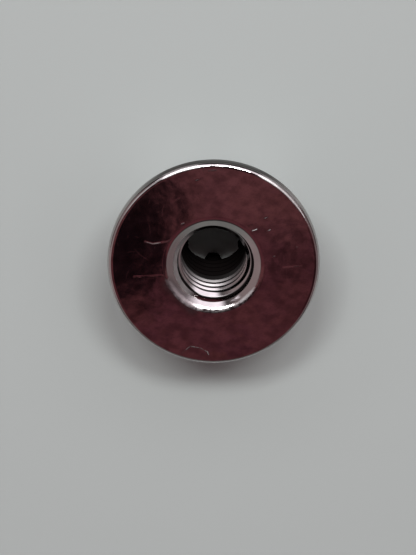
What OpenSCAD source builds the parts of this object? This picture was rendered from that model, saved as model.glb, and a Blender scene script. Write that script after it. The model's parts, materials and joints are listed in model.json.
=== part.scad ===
// Castle nut with a wide round flange.
// A hexagon stands on the back of the flange, a round slotted crown stands on the
// hexagon, and one tapped bore runs through all three. It is turned from one bar.
// The bore runs along Z. The nut stands on its crown with the flange up, and the
// origin is the middle of the crown's end. All sizes are in millimetres.

/* [Thread] */
// Largest diameter of the thread, at the bottom of its grooves
thread_d = 8; // [6:0.25:8.5]
// Distance from one turn of the thread to the next
thread_pitch = 1.25; // [0.75:0.05:1.75]
// How far the countersunk mouth in the flange opens past the thread, on each side
mouth_step = 0.8; // [0.5:0.05:1.2]
// Included angle of the countersink at each end of the bore
mouth_angle = 120; // [90:1:130]
// Radius that blends the mouth into the flange face
mouth_round = 0.8; // [0.2:0.05:0.9]
// Included angle of the steeper taper that leads from the mouth to the thread's crests
throat_angle = 66; // [45:1:80]
// How far the lead-in at the crown end opens past the thread, on each side
crown_lead = 0.2; // [0.1:0.05:0.5]

/* [Flange] */
// Diameter of the flange
flange_d = 21; // [18:0.1:26]
// Thickness of the flange at its rim
rim_t = 1.3; // [0.9:0.05:2]
// Slope of the flange's back, in degrees
back_slope = 20; // [5:1:30]
// Edge radius between the rim and the flange face
face_round = 0.55; // [0.1:0.05:0.6]
// Edge radius between the rim and the flange's back
back_round = 0.3; // [0.1:0.05:0.3]

/* [Hexagon] */
// Width across the flats
hex_af = 13; // [12:0.5:15]
// Height from the flange face to the shoulder under the crown
hex_h = 12; // [6:0.1:14]
// Slope of the chamfer on the hexagon's corners, in degrees
corner_slope = 30; // [20:1:40]
// How far inside the flats that chamfer starts
corner_inset = 0.3; // [0.1:0.05:0.5]

/* [Crown] */
// Diameter of the crown
crown_d = 11.5; // [10.5:0.1:12]
// Height of the crown above the hexagon's shoulder
crown_h = 2.8; // [2:0.1:5]
// Chamfer round the crown's end
crown_edge = 0.35; // [0.1:0.05:0.6]
// Width of the slots for the split pin
slot_w = 2.5; // [1.5:0.1:3]
// How far the slots run past the crown into the hexagon
slot_sink = 0.2; // [0.1:0.05:1]
// Corner radius at the bottom of the slots
slot_round = 0.4; // [0.1:0.05:0.7]

/* [Hidden] */

hex_sides = 6;
half_side = 180 / hex_sides;
round_fn = 144;
edge_fn = 48;
// How far a cutting or joining shape runs past the face that it crosses
overrun = 0.5;

nut_h = hex_h + crown_h;
flange_r = flange_d / 2;
crown_r = crown_d / 2;
hex_corner_r = hex_af / 2 / cos(half_side);

// A 60 degree thread with flattened crests is 5/8 of its sharp height deep
thread_depth = 5 / 8 * thread_pitch * cos(30);
bore_r = thread_d / 2 - thread_depth;
mouth_r = thread_d / 2 + mouth_step;
lead_r = thread_d / 2 + crown_lead;
cone_run = tan(mouth_angle / 2);

// Outline of the flange: a flat face, a rim with both edges rounded, a sloping back
module flange_outline() {
    back_z = nut_h - rim_t;
    axis_z = back_z - flange_r * tan(back_slope);
    round_x = flange_r - back_round;
    round_z = back_z - back_round * tan(back_slope) + back_round / cos(back_slope);
    polygon([
        [0, nut_h],
        [flange_r - face_round, nut_h],
        [flange_r, nut_h - face_round],
        [flange_r, round_z],
        [round_x + back_round * sin(back_slope), round_z - back_round * cos(back_slope)],
        [0, axis_z]
    ]);
    translate([flange_r - face_round, nut_h - face_round])
        circle(face_round, $fn = edge_fn);
    translate([round_x, round_z])
        circle(back_round, $fn = edge_fn);
}

module flange() {
    rotate_extrude($fn = round_fn)
        intersection() {
            flange_outline();
            square([flange_d, nut_h + overrun]);
        }
}

// Hexagon with its corners on the Y axis, chamfered towards the crown
module hexagon() {
    top_r = hex_af / 2 - corner_inset;
    reach = hex_corner_r + overrun;
    end_z = nut_h - rim_t / 2;
    intersection() {
        translate([0, 0, crown_h - overrun])
            rotate(half_side)
                cylinder(r = hex_corner_r, h = end_z - crown_h + overrun, $fn = hex_sides);
        rotate_extrude($fn = round_fn)
            polygon([
                [0, crown_h],
                [top_r, crown_h],
                [reach, crown_h + (reach - top_r) * tan(corner_slope)],
                [reach, nut_h],
                [0, nut_h]
            ]);
    }
}

module crown() {
    rotate_extrude($fn = round_fn)
        polygon([
            [0, 0],
            [crown_r - crown_edge, 0],
            [crown_r, crown_edge],
            [crown_r, crown_h + overrun],
            [0, crown_h + overrun]
        ]);
}

// Section of one slot: flat bottomed, with rounded corners
module slot_section() {
    bottom_z = crown_h + slot_sink;
    inner_w = slot_w - 2 * slot_round;
    translate([-slot_w / 2, -overrun])
        square([slot_w, bottom_z - slot_round + overrun]);
    translate([-inner_w / 2, -overrun])
        square([inner_w, bottom_z + overrun]);
    for (side = [-1, 1])
        translate([side * inner_w / 2, bottom_z - slot_round])
            circle(slot_round, $fn = edge_fn);
}

// One cut makes two opposite slots, each through the middle of a flat
module slots() {
    for (turn = [0 : hex_sides / 2 - 1])
        rotate([90, 0, 90 + turn * 2 * half_side])
            translate([0, 0, -hex_corner_r - overrun])
                linear_extrude(2 * (hex_corner_r + overrun))
                    slot_section();
}

// Bore at the thread's crests, with a rounded countersunk mouth, a throat and a lead-in
module bore() {
    lip_bend = 90 - mouth_angle / 2;
    lip_reach = mouth_round * tan(lip_bend / 2);
    lip_r = mouth_r + lip_reach;
    throat_z = nut_h - mouth_step / cone_run;
    rotate_extrude($fn = round_fn)
        difference() {
            polygon([
                [0, -overrun],
                [lead_r, -overrun],
                [lead_r, 0],
                [bore_r, (lead_r - bore_r) / cone_run],
                [bore_r, throat_z - thread_depth / tan(throat_angle / 2)],
                [thread_d / 2, throat_z],
                [mouth_r - lip_reach * cos(lip_bend), nut_h - lip_reach * sin(lip_bend)],
                [lip_r, nut_h],
                [lip_r, nut_h + overrun],
                [0, nut_h + overrun]
            ]);
            translate([lip_r, nut_h - mouth_round])
                circle(mouth_round, $fn = edge_fn * 2);
        }
}

module castle_nut() {
    color([0.72, 0.70, 0.70])
        difference() {
            union() {
                flange();
                hexagon();
                crown();
            }
            slots();
            bore();
        }
}

castle_nut();
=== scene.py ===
"""Looks of the castle nut: the threaded, softened metal body, its plating, floor, light and camera."""

import json
import math
from collections import namedtuple

import bmesh
import bpy
from mathutils import Matrix, Vector


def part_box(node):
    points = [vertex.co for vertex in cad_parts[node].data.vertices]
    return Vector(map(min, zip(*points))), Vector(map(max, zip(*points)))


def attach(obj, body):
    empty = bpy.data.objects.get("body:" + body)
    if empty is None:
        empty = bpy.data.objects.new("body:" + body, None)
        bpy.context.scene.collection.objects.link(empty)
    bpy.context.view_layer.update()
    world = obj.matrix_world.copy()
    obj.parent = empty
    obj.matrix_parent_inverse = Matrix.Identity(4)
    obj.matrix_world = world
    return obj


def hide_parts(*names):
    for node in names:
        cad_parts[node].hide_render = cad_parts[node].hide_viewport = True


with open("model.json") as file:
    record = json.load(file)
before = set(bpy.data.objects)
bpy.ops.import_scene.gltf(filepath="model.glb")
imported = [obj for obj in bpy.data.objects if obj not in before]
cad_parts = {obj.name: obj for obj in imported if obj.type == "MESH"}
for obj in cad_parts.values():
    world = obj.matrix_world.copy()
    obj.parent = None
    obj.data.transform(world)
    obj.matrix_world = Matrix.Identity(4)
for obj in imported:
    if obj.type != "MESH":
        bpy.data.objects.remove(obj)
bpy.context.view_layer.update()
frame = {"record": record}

# The nut's sizes, in metres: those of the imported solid, and the small roundings of a finished nut
MM = 0.001
NODE = "castle_nut"
LOW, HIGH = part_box(NODE)
THREAD_MOUNT = next(m for m in frame["record"]["mounts"] if m["name"] == "thread")
FLANGE_R = min(HIGH[0] - LOW[0], HIGH[1] - LOW[1]) / 2
FACE_Z = HIGH[2]
BORE_R = THREAD_MOUNT["dims"]["r_mm"] * MM
THREAD_R = 4.0 * MM
THREAD_PITCH = 1.25 * MM
THREAD_FLANK = math.radians(30)
MOUTH_R = 4.8 * MM
MOUTH_HALF_ANGLE = math.radians(60)
THROAT_R = THREAD_R
THROAT_HALF_ANGLE = math.radians(33)
THROAT_DEPTH = (MOUTH_R - THROAT_R) / math.tan(MOUTH_HALF_ANGLE)
LEAD_R = 4.2 * MM
RIM_T = 1.3 * MM
BACK_SLOPE = math.radians(20)
FACE_ROUND = 0.55 * MM
BACK_ROUND = 0.3 * MM
HEX_HALF = 6.5 * MM
HEX_CORNER_ROUND = 0.3 * MM
HEX_FOOT = 0.5 * MM
CORNER_SLOPE = math.radians(30)
CORNER_INSET = 0.3 * MM
SHOULDER_Z = 2.8 * MM
CROWN_R = 5.75 * MM
CROWN_EDGE = 0.35 * MM
CROWN_SOFT = 0.1 * MM
SLOT_W = 2.5 * MM
SLOT_TOP_Z = 3.0 * MM
SLOT_CORNER = 0.4 * MM
SLOT_COUNT = 6
SLOT_EDGE = 0.12 * MM

# The worn lip of the mouth: a tight curve off the face, then a wide one, and where they meet
LIP_TIGHT = 0.4 * MM
LIP_WIDE = 1.6 * MM
LIP_SPLIT = math.radians(10)
LIP_BEND = math.pi / 2 - MOUTH_HALF_ANGLE
LIP_DROP = LIP_TIGHT * (1 - math.cos(LIP_SPLIT)) + LIP_WIDE * (math.cos(LIP_SPLIT) - math.cos(LIP_BEND))
LIP_RUN = LIP_TIGHT * math.sin(LIP_SPLIT) + LIP_WIDE * (math.sin(LIP_BEND) - math.sin(LIP_SPLIT))
LIP_INNER_R = MOUTH_R - LIP_DROP * math.tan(MOUTH_HALF_ANGLE)
LIP_OUTER_R = LIP_INNER_R + LIP_RUN

# The thread's first groove: its turn about the axis, and how deep below the face it lies there
GROOVE_TURN = math.radians(5)
GROOVE_DEPTH = 0.7 * MM

# Rings of points: on the flange's back, on its face, and the gap that keeps the face flat up to its edges
BACK_RINGS = (8.4 * MM, 9.3 * MM)
FACE_RINGS = 10
EDGE_RING = 0.03 * MM
# Degrees off a corner of the hexagon at which a section stands, and the widest step round the flange
CORNER_STEPS = (0, 0.5, 1.0, 1.5, 2.5, 6, 11, 22.5, 30)
FLANGE_STEP = math.radians(2.5)
# Edges that bend more than this stay crisp
CRISP_BEND = math.radians(32)

# The camera: angle off the bore's axis, distance, the picture's size in pixels, the size of one pixel
# at the flange face, and the pixel where the middle of the face appears
VIEW_TILT = math.radians(19)
CAMERA_DISTANCE = 0.155
IMAGE_WIDTH, IMAGE_HEIGHT = 416, 555
PIXEL = 0.0985 * MM
FACE_PIXEL = (213.6, 265.6)

# The floor
FLOOR_REACH = 3.0
FLOOR_COLOUR = (0.44, 0.475, 0.465)
FLOOR_ROUGHNESS = 0.8


def hexagon_radius(angle):
    """Distance from the axis to the hexagon's side, with its corners rounded. A corner lies on +Y."""
    sixth = math.radians(60)
    off_corner = abs((angle - math.radians(90) + sixth / 2) % sixth - sixth / 2)
    centre = (HEX_HALF - HEX_CORNER_ROUND) / math.cos(sixth / 2)
    if centre * math.sin(off_corner) < HEX_CORNER_ROUND * math.sin(sixth / 2 - off_corner):
        across = centre * math.sin(off_corner)
        return centre * math.cos(off_corner) + math.sqrt(HEX_CORNER_ROUND**2 - across**2)
    return HEX_HALF / math.cos(sixth / 2 - off_corner)


def arc(centre_r, centre_z, radius, start, end, steps):
    """Points of a circle's arc in the section plane, from start to end in degrees."""
    turns = [math.radians(start + (end - start) * i / steps) for i in range(steps + 1)]
    return [(centre_r + radius * math.cos(t), centre_z + radius * math.sin(t)) for t in turns]


def softened(corners, radius, steps=2):
    """The line through corners, with each inner corner turned into a short curve."""
    longest = 0.45
    points = [corners[0]]
    for before, here, after in zip(corners, corners[1:], corners[2:]):
        here_v = Vector(here)
        into = Vector(before) - here_v
        out = Vector(after) - here_v
        reach = min(radius, into.length * longest, out.length * longest)
        a = here_v + into.normalized() * reach
        b = here_v + out.normalized() * reach
        for i in range(steps + 1):
            t = i / steps
            points.append(tuple((1 - t) ** 2 * a + 2 * t * (1 - t) * here_v + t**2 * b))
    points.append(corners[-1])
    return points


def back_height(radius):
    """Height of the flange's sloping back at a radius."""
    return FACE_Z - RIM_T - (FLANGE_R - radius) * math.tan(BACK_SLOPE)


def crown_section(angle):
    """Section from the crown's lead-in, out over the crown and the hexagon, to the flange's back."""
    side = hexagon_radius(angle)
    top_r = HEX_HALF - CORNER_INSET
    corner_z = SHOULDER_Z + (side - top_r) * math.tan(CORNER_SLOPE)
    return softened(
        [
            (LEAD_R, 0),
            (CROWN_R - CROWN_EDGE, 0),
            (CROWN_R, CROWN_EDGE),
            (CROWN_R, SHOULDER_Z),
            (top_r, SHOULDER_Z),
            (side, corner_z),
            (side, back_height(side)),
            (side + HEX_FOOT, back_height(side + HEX_FOOT)),
        ],
        CROWN_SOFT,
    )


def lip_section():
    """Section of the worn lip, from the flange face into the mouth's cone."""
    split = 90 + math.degrees(LIP_SPLIT)
    end = 90 + math.degrees(LIP_BEND)
    shift = LIP_WIDE - LIP_TIGHT
    wide_r = LIP_OUTER_R + shift * math.sin(LIP_SPLIT)
    wide_z = FACE_Z - LIP_TIGHT - shift * math.cos(LIP_SPLIT)
    points = arc(LIP_OUTER_R, FACE_Z - LIP_TIGHT, LIP_TIGHT, 90, split, 4)
    return points + arc(wide_r, wide_z, LIP_WIDE, split, end, 6)[1:]


def flange_section():
    """Section from the flange's back over the rim and the face, into the mouth and down the bore."""
    bend = math.degrees(BACK_SLOPE)
    round_r = FLANGE_R - BACK_ROUND
    round_z = back_height(FLANGE_R) + BACK_ROUND * (1 / math.cos(BACK_SLOPE) - math.tan(BACK_SLOPE))
    points = [(r, back_height(r)) for r in BACK_RINGS]
    points += arc(round_r, round_z, BACK_ROUND, bend - 90, 0, 6)
    points += arc(FLANGE_R - FACE_ROUND, FACE_Z - FACE_ROUND, FACE_ROUND, 0, 90, 8)
    face_outer = FLANGE_R - FACE_ROUND - EDGE_RING
    face_inner = LIP_OUTER_R + EDGE_RING
    for i in range(FACE_RINGS + 1):
        points.append((face_outer + (face_inner - face_outer) * i / FACE_RINGS, FACE_Z))
    points += lip_section()
    throat_z = FACE_Z - THROAT_DEPTH
    points.append((THROAT_R, throat_z))
    points.append((BORE_R, throat_z - (THROAT_R - BORE_R) / math.tan(THROAT_HALF_ANGLE)))
    points.append((BORE_R, (LEAD_R - BORE_R) / math.tan(MOUTH_HALF_ANGLE)))
    return points


def body_mesh():
    """The whole nut without its slots and thread, as rings of points round the axis."""
    spread = sorted({s * d for d in CORNER_STEPS for s in (-1, 1) if s * d > -30})
    coarse = [math.radians(90 + 60 * k + d) for k in range(6) for d in spread]
    fine = []
    for a, b in zip(coarse, coarse[1:] + [coarse[0] + 2 * math.pi]):
        parts = max(1, math.ceil((b - a) / FLANGE_STEP))
        fine += [a + (b - a) * i / parts for i in range(parts)]

    bm = bmesh.new()

    def ring(angles, points):
        """Points round the axis, one at each angle, each at its own place in the section."""
        return [
            bm.verts.new((r * math.cos(a), r * math.sin(a), z))
            for a, (r, z) in zip(angles, points)
        ]

    sections = [crown_section(a) for a in coarse]
    rings = [(coarse, ring(coarse, row)) for row in zip(*sections)]
    rings += [(fine, ring(fine, [p] * len(fine))) for p in flange_section()]

    def bridge(lower, upper):
        """Faces between two rings, where one ring may have points that the other lacks."""
        few, many = (lower, upper) if len(lower[0]) <= len(upper[0]) else (upper, lower)
        places = [many[0].index(a) for a in few[0]]
        for i, place in enumerate(places):
            j = (i + 1) % len(places)
            end = places[j] if j else len(many[0])
            outer = [many[1][k % len(many[1])] for k in range(place, end + 1)]
            bm.faces.new([few[1][i]] + outer + [few[1][j]])

    for lower, upper in zip(rings, rings[1:] + rings[:1]):
        bridge(lower, upper)
    bmesh.ops.recalc_face_normals(bm, faces=bm.faces)
    mesh = bpy.data.meshes.new("nut_body")
    bm.to_mesh(mesh)
    bm.free()
    return mesh


def node_group(name, sizes):
    """An empty geometry node tree whose inputs are the named sizes."""
    tree = bpy.data.node_groups.new(name, "GeometryNodeTree")
    tree.interface.new_socket("Geometry", in_out="OUTPUT", socket_type="NodeSocketGeometry")
    for size_name, value in sizes.items():
        kind = "NodeSocketInt" if isinstance(value, int) else "NodeSocketFloat"
        tree.interface.new_socket(size_name, in_out="INPUT", socket_type=kind)
    return tree


def finish_tree(tree, geometry, material):
    """Ends a geometry node tree: its copies made real and painted with the material."""
    real = tree.nodes.new("GeometryNodeRealizeInstances")
    tree.links.new(geometry, real.inputs["Geometry"])
    painted = tree.nodes.new("GeometryNodeSetMaterial")
    painted.inputs["Material"].default_value = material
    tree.links.new(real.outputs["Geometry"], painted.inputs["Geometry"])
    made = tree.nodes.new("NodeGroupOutput")
    tree.links.new(painted.outputs["Geometry"], made.inputs["Geometry"])


def evaluated_mesh(obj):
    """The object's mesh with its modifiers applied, as a plain mesh."""
    graph = bpy.context.evaluated_depsgraph_get()
    return bpy.data.meshes.new_from_object(obj.evaluated_get(graph))


def grown(tree, sizes):
    """The plain mesh that a geometry node tree makes with these sizes."""
    holder = bpy.data.objects.new(tree.name, bpy.data.meshes.new(tree.name))
    bpy.context.scene.collection.objects.link(holder)
    modifier = holder.modifiers.new("tree", "NODES")
    modifier.node_group = tree
    for item in tree.interface.items_tree:
        if item.in_out == "INPUT":
            modifier[item.identifier] = sizes[item.name]
    mesh = evaluated_mesh(holder)
    bpy.data.objects.remove(holder)
    return mesh


def thread_groove(material):
    """The groove that the tap cuts: a tapered bar wound round the axis as a right-hand helix."""
    # How far the bar starts inside the crests
    inside = 0.12 * MM
    depth = THREAD_R - BORE_R
    tip_width = THREAD_PITCH / 8
    sizes = {
        "Path radius": BORE_R - inside,
        "Pitch": THREAD_PITCH,
        "Turns": math.ceil(FACE_Z / THREAD_PITCH) + 2,
        "Steps per turn": 120,
        "Tip width": tip_width,
        "Base width": tip_width + 2 * (depth + inside) * math.tan(THREAD_FLANK),
        "Height": depth + inside,
        "Top": FACE_Z - GROOVE_DEPTH + THREAD_PITCH,
        "Turn": GROOVE_TURN,
    }
    tree = node_group("thread_groove", sizes)
    nodes, links = tree.nodes, tree.links
    given = nodes.new("NodeGroupInput")

    length = calc(tree, "MULTIPLY", given.outputs["Pitch"], given.outputs["Turns"])
    helix = nodes.new("GeometryNodeCurveSpiral")
    links.new(given.outputs["Steps per turn"], helix.inputs["Resolution"])
    links.new(given.outputs["Turns"], helix.inputs["Rotations"])
    links.new(given.outputs["Path radius"], helix.inputs["Start Radius"])
    links.new(given.outputs["Path radius"], helix.inputs["End Radius"])
    links.new(length, helix.inputs["Height"])
    helix.inputs["Reverse"].default_value = True
    upright = nodes.new("GeometryNodeSetCurveNormal")
    upright.mode = "Z_UP"
    links.new(helix.outputs["Curve"], upright.inputs["Curve"])

    section = nodes.new("GeometryNodeCurvePrimitiveQuadrilateral")
    section.mode = "TRAPEZOID"
    links.new(given.outputs["Height"], section.inputs["Height"])
    links.new(given.outputs["Base width"], section.inputs["Bottom Width"])
    links.new(given.outputs["Tip width"], section.inputs["Top Width"])
    section.inputs["Offset"].default_value = 0
    lift = nodes.new("ShaderNodeCombineXYZ")
    links.new(calc(tree, "MULTIPLY", given.outputs["Height"], 0.5), lift.inputs["X"])
    outward = nodes.new("GeometryNodeTransform")
    outward.inputs["Rotation"].default_value = (0, 0, math.radians(-90))
    links.new(section.outputs["Curve"], outward.inputs["Geometry"])
    links.new(lift.outputs[0], outward.inputs["Translation"])

    sweep = nodes.new("GeometryNodeCurveToMesh")
    sweep.inputs["Fill Caps"].default_value = True
    links.new(upright.outputs["Curve"], sweep.inputs["Curve"])
    links.new(outward.outputs["Geometry"], sweep.inputs["Profile Curve"])

    place = nodes.new("ShaderNodeCombineXYZ")
    links.new(calc(tree, "SUBTRACT", given.outputs["Top"], length), place.inputs["Z"])
    turn = nodes.new("ShaderNodeCombineXYZ")
    links.new(given.outputs["Turn"], turn.inputs["Z"])
    seated = nodes.new("GeometryNodeTransform")
    links.new(sweep.outputs["Mesh"], seated.inputs["Geometry"])
    links.new(place.outputs[0], seated.inputs["Translation"])
    links.new(turn.outputs[0], seated.inputs["Rotation"])

    finish_tree(tree, seated.outputs["Geometry"], material)
    return grown(tree, sizes)


def slot_bar():
    """The bar that cuts one slot: flat topped with rounded corners, from inside the bore outwards."""
    half_w = SLOT_W / 2
    inner_r = 2.6 * MM
    outer_r = 9 * MM
    below = -1 * MM
    inset = half_w - SLOT_CORNER
    outline = [(-half_w, below), (half_w, below)]
    outline += arc(inset, SLOT_TOP_Z - SLOT_CORNER, SLOT_CORNER, 0, 90, 5)
    outline += arc(-inset, SLOT_TOP_Z - SLOT_CORNER, SLOT_CORNER, 90, 180, 5)
    bm = bmesh.new()
    near = [bm.verts.new((inner_r, y, z)) for y, z in outline]
    far = [bm.verts.new((outer_r, y, z)) for y, z in outline]
    bm.faces.new(near)
    bm.faces.new(far)
    for i in range(len(outline)):
        j = (i + 1) % len(outline)
        bm.faces.new((near[i], near[j], far[j], far[i]))
    bmesh.ops.recalc_face_normals(bm, faces=bm.faces)
    mesh = bpy.data.meshes.new("slot_bar")
    bm.to_mesh(mesh)
    bm.free()
    return mesh


def slot_ring(material):
    """The slot bar repeated round the axis, one through the middle of each flat."""
    bar = bpy.data.objects.new("slot_bar", slot_bar())
    bpy.context.scene.collection.objects.link(bar)
    sizes = {"Count": SLOT_COUNT}
    tree = node_group("slot_ring", sizes)
    nodes, links = tree.nodes, tree.links
    given = nodes.new("NodeGroupInput")
    points = nodes.new("GeometryNodePoints")
    links.new(given.outputs["Count"], points.inputs["Count"])
    index = nodes.new("GeometryNodeInputIndex")
    share = calc(tree, "DIVIDE", index.outputs[0], given.outputs["Count"])
    turn = nodes.new("ShaderNodeCombineXYZ")
    links.new(calc(tree, "MULTIPLY", share, 2 * math.pi), turn.inputs["Z"])
    shape = nodes.new("GeometryNodeObjectInfo")
    shape.inputs["Object"].default_value = bar
    copies = nodes.new("GeometryNodeInstanceOnPoints")
    links.new(points.outputs[0], copies.inputs["Points"])
    links.new(shape.outputs["Geometry"], copies.inputs["Instance"])
    links.new(turn.outputs[0], copies.inputs["Rotation"])
    finish_tree(tree, copies.outputs["Instances"], material)
    mesh = grown(tree, sizes)
    bpy.data.objects.remove(bar)
    return mesh


def cut(mesh, cutter_mesh):
    """The mesh with the cutter's volume taken out. The cut walls keep the cutter's material."""
    body = bpy.data.objects.new("body", mesh)
    cutter = bpy.data.objects.new("cutter", cutter_mesh)
    for obj in (body, cutter):
        bpy.context.scene.collection.objects.link(obj)
    difference = body.modifiers.new("cut", "BOOLEAN")
    difference.operation = "DIFFERENCE"
    difference.solver = "EXACT"
    difference.material_mode = "TRANSFER"
    difference.object = cutter
    result = evaluated_mesh(body)
    for obj in (body, cutter):
        bpy.data.objects.remove(obj)
    return result


def soften_slot_edges(mesh):
    """Rounds the edges where the slot walls meet the rest."""
    bm = bmesh.new()
    bm.from_mesh(mesh)
    edges = [
        e
        for e in bm.edges
        if len(e.link_faces) == 2
        and e.link_faces[0].material_index != e.link_faces[1].material_index
        and min(v.co.xy.length for v in e.verts) > LEAD_R
    ]
    bmesh.ops.bevel(
        bm,
        geom=edges,
        offset=SLOT_EDGE,
        offset_type="OFFSET",
        segments=2,
        profile=0.5,
        affect="EDGES",
        clamp_overlap=True,
        material=-1,
    )
    bm.to_mesh(mesh)
    bm.free()


def smooth_bore(mesh, groove_index):
    """Gives the mouth, throat, crests and thread flanks the normals of the true cones and helixes."""
    closest = 0.97
    wall = (-1.0, 0.0)
    flank_out, flank_up = -math.sin(THREAD_FLANK), math.cos(THREAD_FLANK)
    groove_forms = (wall, (flank_out, flank_up), (flank_out, -flank_up))
    cones = (MOUTH_HALF_ANGLE, THROAT_HALF_ANGLE)
    turned_forms = (wall,) + tuple((-math.cos(angle), math.sin(angle)) for angle in cones)
    normals = [corner.vector.copy() for corner in mesh.corner_normals]
    for face in mesh.polygons:
        centre = face.center
        if centre.xy.length > LIP_INNER_R:
            continue
        out = centre.xy.normalized()
        shown = Vector((face.normal.xy.dot(out), face.normal.z))
        wound = face.material_index == groove_index
        best = max(groove_forms if wound else turned_forms, key=lambda form: shown.dot(form))
        if shown.dot(best) < closest:
            continue
        for loop in face.loop_indices:
            spot = mesh.vertices[mesh.loops[loop].vertex_index].co
            out = spot.xy.normalized()
            lean = -best[1] * THREAD_PITCH / (2 * math.pi * spot.xy.length) if wound else 0.0
            normal = Vector((out.x * best[0] - out.y * lean, out.y * best[0] + out.x * lean, best[1]))
            normals[loop] = normal.normalized()
    mesh.normals_split_custom_set(normals)


def plain_material(name, colour, roughness):
    """A node material with these constants on its shader."""
    material = bpy.data.materials.new(name)
    material.use_nodes = True
    shader = material.node_tree.nodes["Principled BSDF"]
    shader.inputs["Base Color"].default_value = (*colour, 1)
    shader.inputs["Roughness"].default_value = roughness
    return material


def feed(tree, socket, value):
    """Sets an input to a value, or links it to another node's output."""
    if isinstance(value, bpy.types.NodeSocket):
        tree.links.new(value, socket)
    else:
        socket.default_value = value


def calc(tree, operation, a, b=0.0):
    """A math node's result."""
    node = tree.nodes.new("ShaderNodeMath")
    node.operation = operation
    feed(tree, node.inputs[0], a)
    feed(tree, node.inputs[1], b)
    return node.outputs[0]


def product(tree, first, *others):
    """All the values multiplied."""
    for other in others:
        first = calc(tree, "MULTIPLY", first, other)
    return first


def total(tree, first, *others):
    """All the values added up."""
    for other in others:
        first = calc(tree, "ADD", first, other)
    return first


def inverse(tree, share):
    """1 where the share is 0, and 0 where it is 1."""
    return calc(tree, "SUBTRACT", 1.0, share)


def vector_calc(tree, operation, a, b=(0, 0, 0), result="Vector"):
    """A vector math node's result."""
    node = tree.nodes.new("ShaderNodeVectorMath")
    node.operation = operation
    feed(tree, node.inputs[0], a)
    feed(tree, node.inputs[1], b)
    return node.outputs[result]


def fade(tree, value, start, end):
    """Rises smoothly from 0 where the value is at start to 1 where it is at end."""
    node = tree.nodes.new("ShaderNodeMapRange")
    node.interpolation_type = "SMOOTHSTEP"
    feed(tree, node.inputs["Value"], value)
    node.inputs["From Min"].default_value = start
    node.inputs["From Max"].default_value = end
    return node.outputs["Result"]


def blend(tree, share, colour_a, colour_b):
    """Colour a where the share is 0, colour b where it is 1."""
    node = tree.nodes.new("ShaderNodeMix")
    node.data_type = "RGBA"
    feed(tree, node.inputs["Factor"], share)
    feed(tree, node.inputs["A"], colour_a)
    feed(tree, node.inputs["B"], colour_b)
    return node.outputs["Result"]


def noise(tree, vector, scale, detail, turn=0.0, stretch=(1, 1, 1)):
    """A noise texture's value, with its pattern turned about Z and stretched."""
    mapping = tree.nodes.new("ShaderNodeMapping")
    mapping.inputs["Rotation"].default_value = (0, 0, math.radians(turn))
    mapping.inputs["Scale"].default_value = stretch
    tree.links.new(vector, mapping.inputs["Vector"])
    node = tree.nodes.new("ShaderNodeTexNoise")
    node.inputs["Scale"].default_value = scale
    node.inputs["Detail"].default_value = detail
    tree.links.new(mapping.outputs["Vector"], node.inputs["Vector"])
    return node.outputs["Fac"]


def mask_group(name, inputs):
    """An empty shader group with these inputs and one mask as its output."""
    tree = bpy.data.node_groups.new(name, "ShaderNodeTree")
    for input_name, kind in inputs:
        tree.interface.new_socket(input_name, in_out="INPUT", socket_type="NodeSocket" + kind)
    tree.interface.new_socket("Mask", in_out="OUTPUT", socket_type="NodeSocketFloat")
    return tree, tree.nodes.new("NodeGroupInput").outputs, tree.nodes.new("NodeGroupOutput").inputs


def stroke_group():
    """A shader group that is 1 along the straight stroke between two points and 0 away from it."""
    inputs = (("Place", "Vector"), ("Start", "Vector"), ("End", "Vector"), ("Width", "Float"))
    tree, given, made = mask_group("stroke", inputs)
    from_start = vector_calc(tree, "SUBTRACT", given["Place"], given["Start"])
    along = vector_calc(tree, "SUBTRACT", given["End"], given["Start"])
    reach = vector_calc(tree, "DOT_PRODUCT", from_start, along, "Value")
    whole = vector_calc(tree, "DOT_PRODUCT", along, along, "Value")
    part = calc(tree, "MINIMUM", calc(tree, "MAXIMUM", calc(tree, "DIVIDE", reach, whole), 0.0), 1.0)
    nearest = tree.nodes.new("ShaderNodeVectorMath")
    nearest.operation = "SCALE"
    tree.links.new(along, nearest.inputs[0])
    tree.links.new(part, nearest.inputs["Scale"])
    off = vector_calc(tree, "DISTANCE", from_start, nearest.outputs[0], "Value")
    share = calc(tree, "DIVIDE", off, given["Width"])
    tree.links.new(fade(tree, share, 1.0, 0.1), made["Mask"])
    return tree


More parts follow.
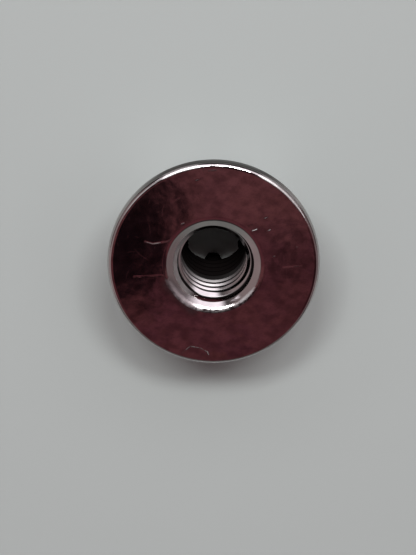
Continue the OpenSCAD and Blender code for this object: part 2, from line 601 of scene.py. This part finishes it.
def scratch_group():
    """A shader group that is 1 along short hairlines, one in each cell of a grid, turned at random."""
    shortest, longer, bend = 0.12, 0.3, 0.5
    inputs = (("Place", "Vector"), ("Density", "Float"), ("Width", "Float"))
    tree, given, made = mask_group("scratches", inputs)
    cell = vector_calc(tree, "FLOOR", given["Place"])
    corner_place = vector_calc(tree, "FRACTION", given["Place"])
    inside = vector_calc(tree, "SUBTRACT", corner_place, (0.5, 0.5, 0))
    chance = tree.nodes.new("ShaderNodeTexWhiteNoise")
    tree.links.new(cell, chance.inputs["Vector"])
    parts = tree.nodes.new("ShaderNodeSeparateColor")
    tree.links.new(chance.outputs["Color"], parts.inputs["Color"])
    turned = tree.nodes.new("ShaderNodeVectorRotate")
    turned.rotation_type = "Z_AXIS"
    tree.links.new(inside, turned.inputs["Vector"])
    tree.links.new(product(tree, parts.outputs[0], 2 * math.pi), turned.inputs["Angle"])
    split = tree.nodes.new("ShaderNodeSeparateXYZ")
    tree.links.new(turned.outputs["Vector"], split.inputs[0])
    along = calc(tree, "ABSOLUTE", split.outputs["X"])
    bow = product(tree, calc(tree, "POWER", along, 2.0), bend)
    across = calc(tree, "ABSOLUTE", calc(tree, "SUBTRACT", split.outputs["Y"], bow))
    line = fade(tree, calc(tree, "DIVIDE", across, given["Width"]), 1.0, 0.0)
    reach = total(tree, shortest, product(tree, parts.outputs[1], longer))
    ends = fade(tree, calc(tree, "DIVIDE", along, reach), 1.0, 0.5)
    there = calc(tree, "LESS_THAN", chance.outputs["Value"], given["Density"])
    tree.links.new(product(tree, line, ends, there, parts.outputs[2]), made["Mask"])
    return tree


# Strokes of wear on the flange face: points in millimetres from the axis, width, strength
STROKES = (
    (((-6.71, 2.49), (-5.98, 2.27), (-4.58, 2.49), (-4.08, 2.72)), 0.11, 0.7),
    (((-7.83, -1.17), (-4.98, -1.02)), 0.14, 0.2),
    (((3.80, 3.63), (4.22, 3.78)), 0.11, 1.0),
    (((5.13, 3.52), (5.54, 3.73)), 0.10, 0.9),
    (((4.99, 4.91), (5.27, 5.01)), 0.10, 0.8),
    (((3.40, 4.10), (3.80, 4.19)), 0.10, 0.7),
    (((-3.34, -9.40), (-2.32, -8.49), (-1.30, -8.70), (-0.58, -9.13), (-0.48, -9.40)), 0.12, 0.8),
    (((-0.62, -9.10), (-0.50, -9.35)), 0.13, 1.0),
    (((6.86, -0.16), (8.70, 0.01)), 0.10, 0.4),
    (((8.15, 1.95), (8.22, 1.97)), 0.12, 0.7),
    (((5.90, 0.95), (6.00, 1.00)), 0.12, 0.6),
    (((-1.71, 8.73), (-1.09, 8.88)), 0.11, 0.6),
    (((-3.14, 4.31), (-2.90, 4.40)), 0.12, 0.6),
    (((-3.95, 6.58), (-3.34, 6.90)), 0.11, 0.35),
    (((-1.0, 9.72), (0.7, 9.78)), 0.2, 0.45),
)
# Scuffed stretches of the edges: points in millimetres from the axis, width, strength. The lip's stretch
# also carries painted shade
RIM_SCUFFS = ((((5.2, 8.8), (8.0, 6.4)), 1.5, 1.0), (((-4.4, 9.2), (-2.0, 10.0)), 1.3, 1.0))
LIP_SCUFF_AND_SHADE = ((((-4.5, -2.0), (-2.1, -4.6)), 1.1, 1.0),)
# Layers of hairlines on the face: cells in a millimetre, turn in degrees, density, width in cells
HAIRLINES = ((0.35, 20, 0.7, 0.02), (0.6, 55, 0.6, 0.03), (1.1, 5, 0.5, 0.045))

# Colours of the plating, and of the painted shade on the rim, at the lip and down the bore
PLATE_DARK = (0.59, 0.56, 0.56, 1)
PLATE_LIGHT = (0.67, 0.64, 0.64, 1)
PLATE_GRAIN = (0.42, 0.39, 0.40, 1)
FACE_FILM = (0.2, 0.185, 0.19, 1)
# Painted shade on the rim: lighter at its sides, darkest at its top and bottom
RIM_PAINTED_SHADE_SIDES = (0.42, 0.40, 0.39, 1)
RIM_PAINTED_SHADE_ENDS = (0.115, 0.11, 0.105, 1)
# Painted shade at the lower left of the mouth's lip, dimming its reflection
LIP_PAINTED_SHADE = (0.2, 0.165, 0.175, 1)
# Painted shade: near black in the thread roots and down the deep bore
BORE_PAINTED_SHADE = (0.006, 0.0045, 0.0045, 1)

# Roughness of the polished plate, and what each kind of wear, and each mask of painted shade, adds to it
POLISHED = 0.05
ROUGHER = {
    "cloud": 0.03,
    "rim_scuffs": 0.3,
    "lip_scuffs_and_shade": 0.2,
    "rim": 0.35,
    "worn_lip": 0.13,
    "hairlines": 0.1,
    "strokes": 0.42,
    "bore_shade": 0.3,
    "land": 0.45,
}

# Height of the waves, dents and strokes in the plating
RELIEF = 0.012 * MM

# A point of the nut in millimetres: its place, that place seen along the bore, how far out from the axis
# and down from the face it lies, its X and Y, and whether it is on the face
Spot = namedtuple("Spot", "place flat radius depth x y on_face")


def nut_spot(tree):
    """Where the shaded point lies on the nut."""
    coords = tree.nodes.new("ShaderNodeTexCoord")
    place = vector_calc(tree, "MULTIPLY", coords.outputs["Object"], (1 / MM, 1 / MM, 1 / MM))
    flat = vector_calc(tree, "MULTIPLY", place, (1, 1, 0))
    radius = vector_calc(tree, "LENGTH", flat, result="Value")
    split = tree.nodes.new("ShaderNodeSeparateXYZ")
    tree.links.new(place, split.inputs[0])
    depth = calc(tree, "SUBTRACT", FACE_Z / MM, split.outputs["Z"])
    on_face = fade(tree, depth, 0.03, 0.01)
    return Spot(place, flat, radius, depth, split.outputs["X"], split.outputs["Y"], on_face)


def along_strokes(tree, spot, group, strokes):
    """The strength of each stroke along it, and 0 away from them all."""
    mask = 0.0
    for points, width, strength in strokes:
        for start, end in zip(points, points[1:]):
            stroke = tree.nodes.new("ShaderNodeGroup")
            stroke.node_tree = group
            tree.links.new(spot.flat, stroke.inputs["Place"])
            stroke.inputs["Start"].default_value = (*start, 0)
            stroke.inputs["End"].default_value = (*end, 0)
            stroke.inputs["Width"].default_value = width
            mask = calc(tree, "MAXIMUM", mask, product(tree, stroke.outputs[0], strength))
    return mask


def hairlines(tree, spot):
    """Fine scratches on the face, in layers of different size."""
    mask = 0.0
    group = scratch_group()
    for per_mm, turn, density, width in HAIRLINES:
        mapping = tree.nodes.new("ShaderNodeMapping")
        mapping.inputs["Rotation"].default_value = (0, 0, math.radians(turn))
        mapping.inputs["Scale"].default_value = (per_mm, per_mm, per_mm)
        tree.links.new(spot.flat, mapping.inputs["Vector"])
        layer = tree.nodes.new("ShaderNodeGroup")
        layer.node_tree = group
        tree.links.new(mapping.outputs["Vector"], layer.inputs["Place"])
        layer.inputs["Density"].default_value = density
        layer.inputs["Width"].default_value = width
        mask = calc(tree, "MAXIMUM", mask, layer.outputs["Mask"])
    return product(tree, mask, spot.on_face)


def bore_shade_and_land(tree, spot):
    """Painted shade in the thread's roots and deep down the bore, and where the throat's satin land lies.
    """
    crest_r, first_crest_step = 3.44, 0.22
    on_left = fade(tree, spot.x, -1.2, -2.8)
    first_turns = fade(tree, spot.depth, 2.2, 1.5)
    crest_edge = total(tree, crest_r, product(tree, first_turns, inverse(tree, on_left), first_crest_step))
    # Painted shade in the thread roots, outside the crest edge
    roots = fade(tree, calc(tree, "SUBTRACT", spot.radius, crest_edge), 0.0, 0.12)
    inward = calc(tree, "SUBTRACT", THROAT_R / MM, spot.radius)
    throat = total(tree, THROAT_DEPTH / MM, calc(tree, "DIVIDE", inward, math.tan(THROAT_HALF_ANGLE)))
    past_throat = calc(tree, "SUBTRACT", spot.depth, throat)
    below_mouth = fade(tree, spot.depth, 0.42, 0.5)
    roots = product(tree, roots, below_mouth, fade(tree, past_throat, 0.02, 0.08))
    # Painted shade that deepens further down the bore
    deep = fade(tree, spot.depth, 1.0, 6.8)
    in_bore = fade(tree, spot.radius, 4.3, 4.1)
    # All the painted shade of the bore: the roots and the depths
    bore_shade = product(tree, calc(tree, "MAXIMUM", roots, deep), in_bore)
    land = fade(tree, calc(tree, "ABSOLUTE", past_throat), 0.06, 0.02)
    land = product(tree, land, on_left, fade(tree, spot.radius, 4.02, 3.98))
    return bore_shade, land


def plate_wear_and_shade(tree, spot):
    """Masks for each kind of wear on the plating, and for the painted shade on the rim, at the lip and
    down the bore, by name.
    """
    group = stroke_group()
    strokes = product(tree, along_strokes(tree, spot, group, STROKES), spot.on_face)
    broken = fade(tree, noise(tree, spot.place, 1.6, 3), 0.2, 0.7)
    lip = product(tree, fade(tree, spot.radius, 4.05, 4.4), fade(tree, spot.radius, 5.15, 4.95))
    lip = product(tree, lip, fade(tree, spot.y, 0.5, -2.5))
    pitted = fade(tree, noise(tree, spot.place, 2.2, 4), 0.3, 0.65)
    in_mouth = fade(tree, spot.depth, 0.5, 0.4)
    on_edge = fade(tree, spot.radius, 9.95, 10.05)
    bore_shade, land = bore_shade_and_land(tree, spot)
    return {
        "cloud": noise(tree, spot.place, 0.5, 4),
        "strokes": product(tree, strokes, broken),
        "hairlines": hairlines(tree, spot),
        # The rim band: rougher, and darkened with painted shade in the plating's colour
        "rim": product(tree, fade(tree, spot.radius, 10.2, 10.3), fade(tree, spot.depth, 0.14, 0.28)),
        "rim_scuffs": product(tree, along_strokes(tree, spot, group, RIM_SCUFFS), on_edge),
        # Rough scuffs at the lower left of the lip, which also carry painted shade
        "lip_scuffs_and_shade": product(tree, along_strokes(tree, spot, group, LIP_SCUFF_AND_SHADE), in_mouth),
        "worn_lip": product(tree, fade(tree, spot.radius, 4.35, 4.6), pitted, lip),
        "dented": calc(tree, "MAXIMUM", lip, fade(tree, spot.radius, 9.95, 10.1)),
        # Painted shade in the thread roots and the deep bore
        "bore_shade": bore_shade,
        "land": land,
    }


def plate_colour(tree, spot, wear_and_shade):
    """Colour of the plating: clouded, with grain and film on the face, painted shade on the rim that is
    deepest at its top and bottom, painted shade at the lower left of the lip, and painted shade down the
    bore.
    """
    grain_share, film_share, lip_shade_share = 0.6, 0.55, 0.9
    colour = blend(tree, fade(tree, wear_and_shade["cloud"], 0.35, 0.65), PLATE_DARK, PLATE_LIGHT)
    grain = noise(tree, spot.place, 4.5, 3, 25, (1, 2.2, 1))
    grain = product(tree, fade(tree, grain, 0.5, 0.75), spot.on_face, grain_share)
    colour = blend(tree, grain, colour, PLATE_GRAIN)
    film = noise(tree, spot.place, 0.9, 6, 25, (1, 1.3, 1))
    film = product(tree, fade(tree, film, 0.34, 0.7), spot.on_face, film_share)
    colour = blend(tree, film, colour, FACE_FILM)
    # Painted shade on the rim, darkest at its top and bottom
    rim_shade_towards_ends = fade(tree, calc(tree, "ABSOLUTE", spot.y), 6.5, 9.6)
    colour = blend(tree, wear_and_shade["rim"], colour, blend(tree, rim_shade_towards_ends, RIM_PAINTED_SHADE_SIDES, RIM_PAINTED_SHADE_ENDS))
    # Painted shade at the lower left of the lip, dimming the mouth's reflection there
    colour = blend(tree, product(tree, wear_and_shade["lip_scuffs_and_shade"], lip_shade_share), colour, LIP_PAINTED_SHADE)
    # Painted shade: thread roots and deep bore turned near black
    return blend(tree, wear_and_shade["bore_shade"], colour, BORE_PAINTED_SHADE)


def plate_relief(tree, spot, wear_and_shade):
    """Normal of the plating: long soft waves, dents along the edges and the depth of the strokes."""
    ripple_share, dent_share, stroke_share = 0.06, 1.2, 1.6
    ripples = product(tree, noise(tree, spot.place, 3, 2), ripple_share)
    waves = total(tree, noise(tree, spot.place, 0.45, 2), ripples)
    dents = product(tree, noise(tree, spot.place, 1.6, 3), wear_and_shade["dented"], dent_share)
    strokes = product(tree, wear_and_shade["strokes"], stroke_share)
    bump = tree.nodes.new("ShaderNodeBump")
    bump.inputs["Strength"].default_value = 1.0
    bump.inputs["Distance"].default_value = RELIEF
    tree.links.new(calc(tree, "SUBTRACT", total(tree, waves, dents), strokes), bump.inputs["Height"])
    return bump.outputs["Normal"]


def plating_material():
    """Bright nickel plate: worn on the face, with painted shade on the rim, at the lower left of the lip
    and in the thread's roots and deep bore.
    """
    material = bpy.data.materials.new("nickel_plate")
    material.use_nodes = True
    tree = material.node_tree
    shader = tree.nodes["Principled BSDF"]
    shader.inputs["Specular IOR Level"].default_value = 0.0
    spot = nut_spot(tree)
    wear_and_shade = plate_wear_and_shade(tree, spot)
    rougher = (product(tree, wear_and_shade[kind], share) for kind, share in ROUGHER.items())
    tree.links.new(plate_colour(tree, spot, wear_and_shade), shader.inputs["Base Color"])
    # Where the painted shade in the bore is full, the plate is no longer metal
    tree.links.new(inverse(tree, fade(tree, wear_and_shade["bore_shade"], 0.75, 1.0)), shader.inputs["Metallic"])
    tree.links.new(total(tree, POLISHED, *rougher), shader.inputs["Roughness"])
    tree.links.new(plate_relief(tree, spot, wear_and_shade), shader.inputs["Normal"])
    return material


def castle_nut():
    """The dressed nut, in place of the solid."""
    plating = plating_material()
    slot_mark = bpy.data.materials.new("slot_wall")
    groove_mark = bpy.data.materials.new("groove_wall")
    mesh = body_mesh()
    mesh.materials.append(plating)
    mesh = cut(mesh, slot_ring(slot_mark))
    soften_slot_edges(mesh)
    mesh = cut(mesh, thread_groove(groove_mark))
    for face in mesh.polygons:
        face.use_smooth = True
    mesh.set_sharp_from_angle(angle=CRISP_BEND)
    nut = bpy.data.objects.new("castle_nut_metal", mesh)
    bpy.context.scene.collection.objects.link(nut)
    weighted = nut.modifiers.new("weighted", "WEIGHTED_NORMAL")
    weighted.keep_sharp = True
    finished = evaluated_mesh(nut)
    nut.modifiers.clear()
    nut.data = finished
    smooth_bore(finished, finished.materials.find(groove_mark.name))
    for face in finished.polygons:
        face.material_index = 0
    while len(finished.materials) > 1:
        finished.materials.pop()
    finished.name = "castle_nut_metal"
    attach(nut, "root")
    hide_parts(NODE)


def add_camera():
    """Looks down on the flange as the photograph does, 19 degrees off the bore's axis."""
    data = bpy.data.cameras.new("camera")
    data.sensor_width = 36
    data.lens = data.sensor_width * CAMERA_DISTANCE / (IMAGE_HEIGHT * PIXEL)
    data.clip_start = 0.005
    camera = bpy.data.objects.new("camera", data)
    bpy.context.scene.collection.objects.link(camera)
    back = Vector((0, math.sin(VIEW_TILT), math.cos(VIEW_TILT)))
    right = Vector((1, 0, 0))
    up = back.cross(right)
    aim = Vector((0, 0, FACE_Z))
    aim -= right * (FACE_PIXEL[0] - IMAGE_WIDTH / 2) * PIXEL
    aim -= up * (IMAGE_HEIGHT / 2 - FACE_PIXEL[1]) * PIXEL
    turn = Matrix((right, up, back)).transposed().to_4x4()
    camera.matrix_world = Matrix.Translation(aim + back * CAMERA_DISTANCE) @ turn
    bpy.context.scene.camera = camera


def add_floor():
    """A plain pale floor under the crown."""
    reach = FLOOR_REACH
    mesh = bpy.data.meshes.new("floor")
    corners = [(-reach, -reach, 0), (reach, -reach, 0), (reach, reach, 0), (-reach, reach, 0)]
    mesh.from_pydata(corners, [], [(0, 1, 2, 3)])
    mesh.materials.append(plain_material("floor", FLOOR_COLOUR, FLOOR_ROUGHNESS))
    floor = bpy.data.objects.new("floor", mesh)
    bpy.context.scene.collection.objects.link(floor)


# Colours of the room that the metal mirrors
WALL_LEFT = (0.30, 0.235, 0.235, 1)
WALL_RIGHT = (0.19, 0.145, 0.147, 1)
WALL_BEHIND = (0.205, 0.205, 0.197, 1)
WALL_BEHIND_TOP = (0.03, 0.025, 0.025, 1)
WALL_AHEAD = (0.04, 0.037, 0.037, 1)
HORIZON = (0.015, 0.013, 0.013, 1)
WINDOW = (1.47, 1.36, 1.45, 1)
CEILING_DARK = (0.084, 0.0235, 0.0345, 1)
CEILING_LIGHT = (0.118, 0.0355, 0.037, 1)
CEILING_FRONT = (0.20, 0.078, 0.078, 1)
CEILING_SHADE = (0.0045, 0.0024, 0.0034, 1)
CEILING_WELL = (0.02, 0.008, 0.01, 1)
CEILING_HAZE = (0.40, 0.325, 0.345, 1)
CORNER_GLOW = (1.0, 0.95, 0.97)
# Shaded ovals of the ceiling: centre, turn in degrees, half sizes, strength
CEILING_SHADES = (
    ((-0.053, -0.303), 67, (0.047, 0.036), 1.0),
    ((0.0506, -0.3097), 90, (0.016, 0.008), 0.7),
    ((0.36, -0.326), 0, (0.27, 0.12), 0.75),
)
# Bright corners of the room: direction and strength
BRIGHT_CORNERS = (((0.55, 0.18, 0.815), 1.3), ((-0.50, 0.20, 0.843), 0.6))

# The lamps: name and turn from straight ahead in degrees, lean off the vertical, sizes, watts, distance
LAMPS = (("left_lamp", -18), ("right_lamp", 18))
LAMP_LEAN = math.radians(31)
LAMP_WIDTH, LAMP_DEPTH = 0.16, 0.06
LAMP_POWER = 1.5
LAMP_DISTANCE = 0.6


def room_walls(tree, side, ahead, height):
    """The room below its ceiling: soft walls, a dark horizon and a bright window ahead."""
    low_bow, high_bow = 0.42, 0.35
    off_middle = calc(tree, "ABSOLUTE", side)
    bow = product(tree, side, side)
    rise = calc(tree, "SUBTRACT", height, product(tree, bow, low_bow))
    behind = fade(tree, ahead, 0.05, -0.3)
    walls = blend(tree, fade(tree, side, -0.6, 0.6), WALL_LEFT, WALL_RIGHT)
    walls = blend(tree, product(tree, behind, fade(tree, off_middle, 0.75, 0.35)), walls, WALL_BEHIND)
    higher = calc(tree, "SUBTRACT", rise, product(tree, bow, high_bow))
    walls = blend(tree, product(tree, behind, fade(tree, higher, 0.33, 0.43)), walls, WALL_BEHIND_TOP)
    flanks = calc(tree, "MAXIMUM", fade(tree, ahead, -0.05, -0.2), 0.5)
    flanks = product(tree, fade(tree, off_middle, 0.7, 0.85), flanks)
    horizon = product(tree, fade(tree, rise, 0.15, 0.09), inverse(tree, flanks))
    walls = blend(tree, horizon, walls, HORIZON)
    walls = blend(tree, fade(tree, ahead, 0.3, 0.7), walls, WALL_AHEAD)
    pane = product(tree, fade(tree, side, -0.32, -0.12), fade(tree, side, 0.58, 0.34))
    sill = product(tree, fade(tree, off_middle, 0.62, 0.5), fade(tree, height, 0.71, 0.67))
    window = product(tree, calc(tree, "MAXIMUM", pane, sill), fade(tree, height, 0.50, 0.56))
    window = product(tree, window, fade(tree, ahead, 0.0, 0.35))
    return blend(tree, window, walls, WINDOW)


def ceiling(tree, direction, ahead, height):
    """The dark reddish ceiling that the flange face mirrors, with shaded ovals and a pale front edge."""
    front_share, raggedness, endless = 0.32, 1.3, 1000
    patches = noise(tree, direction, 45, 4)
    colour = blend(tree, fade(tree, patches, 0.35, 0.65), CEILING_DARK, CEILING_LIGHT)
    front = product(tree, fade(tree, ahead, -0.33, -0.27), front_share)
    colour = blend(tree, front, colour, CEILING_FRONT)
    ragged = product(tree, calc(tree, "SUBTRACT", noise(tree, direction, 60, 5), 0.5), raggedness)
    for centre, turn, reach, strength in CEILING_SHADES:
        oval = tree.nodes.new("ShaderNodeMapping")
        oval.vector_type = "TEXTURE"
        oval.inputs["Location"].default_value = (*centre, 0)
        oval.inputs["Rotation"].default_value = (0, 0, math.radians(turn))
        oval.inputs["Scale"].default_value = (*reach, endless)
        tree.links.new(direction, oval.inputs["Vector"])
        off = vector_calc(tree, "LENGTH", oval.outputs["Vector"], result="Value")
        shade = product(tree, fade(tree, total(tree, off, ragged), 1.25, 0.75), strength)
        colour = blend(tree, shade, colour, CEILING_SHADE)
    well = product(tree, fade(tree, ahead, -0.22, -0.12), fade(tree, height, 0.88, 0.92))
    colour = blend(tree, well, colour, CEILING_WELL)
    haze = product(tree, fade(tree, height, 0.91, 0.80), fade(tree, ahead, 0.15, 0.4))
    return blend(tree, haze, colour, CEILING_HAZE)


def near_direction(tree, direction, aim, outer, inner):
    """Rises from 0 to 1 between two angles off a direction, given in degrees."""
    towards = vector_calc(tree, "DOT_PRODUCT", direction, aim, "Value")
    return fade(tree, towards, math.cos(math.radians(outer)), math.cos(math.radians(inner)))


def add_room():
    """A soft room round the nut: dim walls, a window ahead, and a dark reddish ceiling."""
    world = bpy.data.worlds.new("studio")
    bpy.context.scene.world = world
    world.use_nodes = True
    tree = world.node_tree
    direction = tree.nodes.new("ShaderNodeTexCoord").outputs["Generated"]
    split = tree.nodes.new("ShaderNodeSeparateXYZ")
    tree.links.new(direction, split.inputs[0])
    side, ahead, height = split.outputs["X"], split.outputs["Y"], split.outputs["Z"]

    mirrored = (0, -math.sin(VIEW_TILT), math.cos(VIEW_TILT))
    overhead = near_direction(tree, direction, mirrored, 43, 34)
    overhead = calc(tree, "MAXIMUM", overhead, fade(tree, height, 0.80, 0.85))
    walls = room_walls(tree, side, ahead, height)
    colour = blend(tree, overhead, walls, ceiling(tree, direction, ahead, height))
    for corner, strength in BRIGHT_CORNERS:
        glow = tuple(strength * part for part in CORNER_GLOW)
        colour = blend(tree, near_direction(tree, direction, corner, 13, 7), colour, (*glow, 1))
    tree.links.new(colour, tree.nodes["Background"].inputs["Color"])


def add_lamps():
    """Two soft lamps ahead of the nut and above it, aimed at the middle of the face."""
    for name, turn in LAMPS:
        lamp = bpy.data.lights.new(name, "AREA")
        lamp.shape = "RECTANGLE"
        lamp.size = LAMP_WIDTH
        lamp.size_y = LAMP_DEPTH
        lamp.energy = LAMP_POWER
        holder = bpy.data.objects.new(name, lamp)
        bpy.context.scene.collection.objects.link(holder)
        spread = math.radians(turn)
        level = Vector((math.sin(spread), math.cos(spread), 0)) * math.sin(LAMP_LEAN)
        away = level + Vector((0, 0, math.cos(LAMP_LEAN)))
        aim = away.to_track_quat("Z", "Y").to_matrix().to_4x4()
        holder.matrix_world = Matrix.Translation(Vector((0, 0, FACE_Z)) + away * LAMP_DISTANCE) @ aim


bpy.context.scene.view_settings.view_transform = "Standard"
add_camera()
castle_nut()
add_floor()
add_room()
add_lamps()
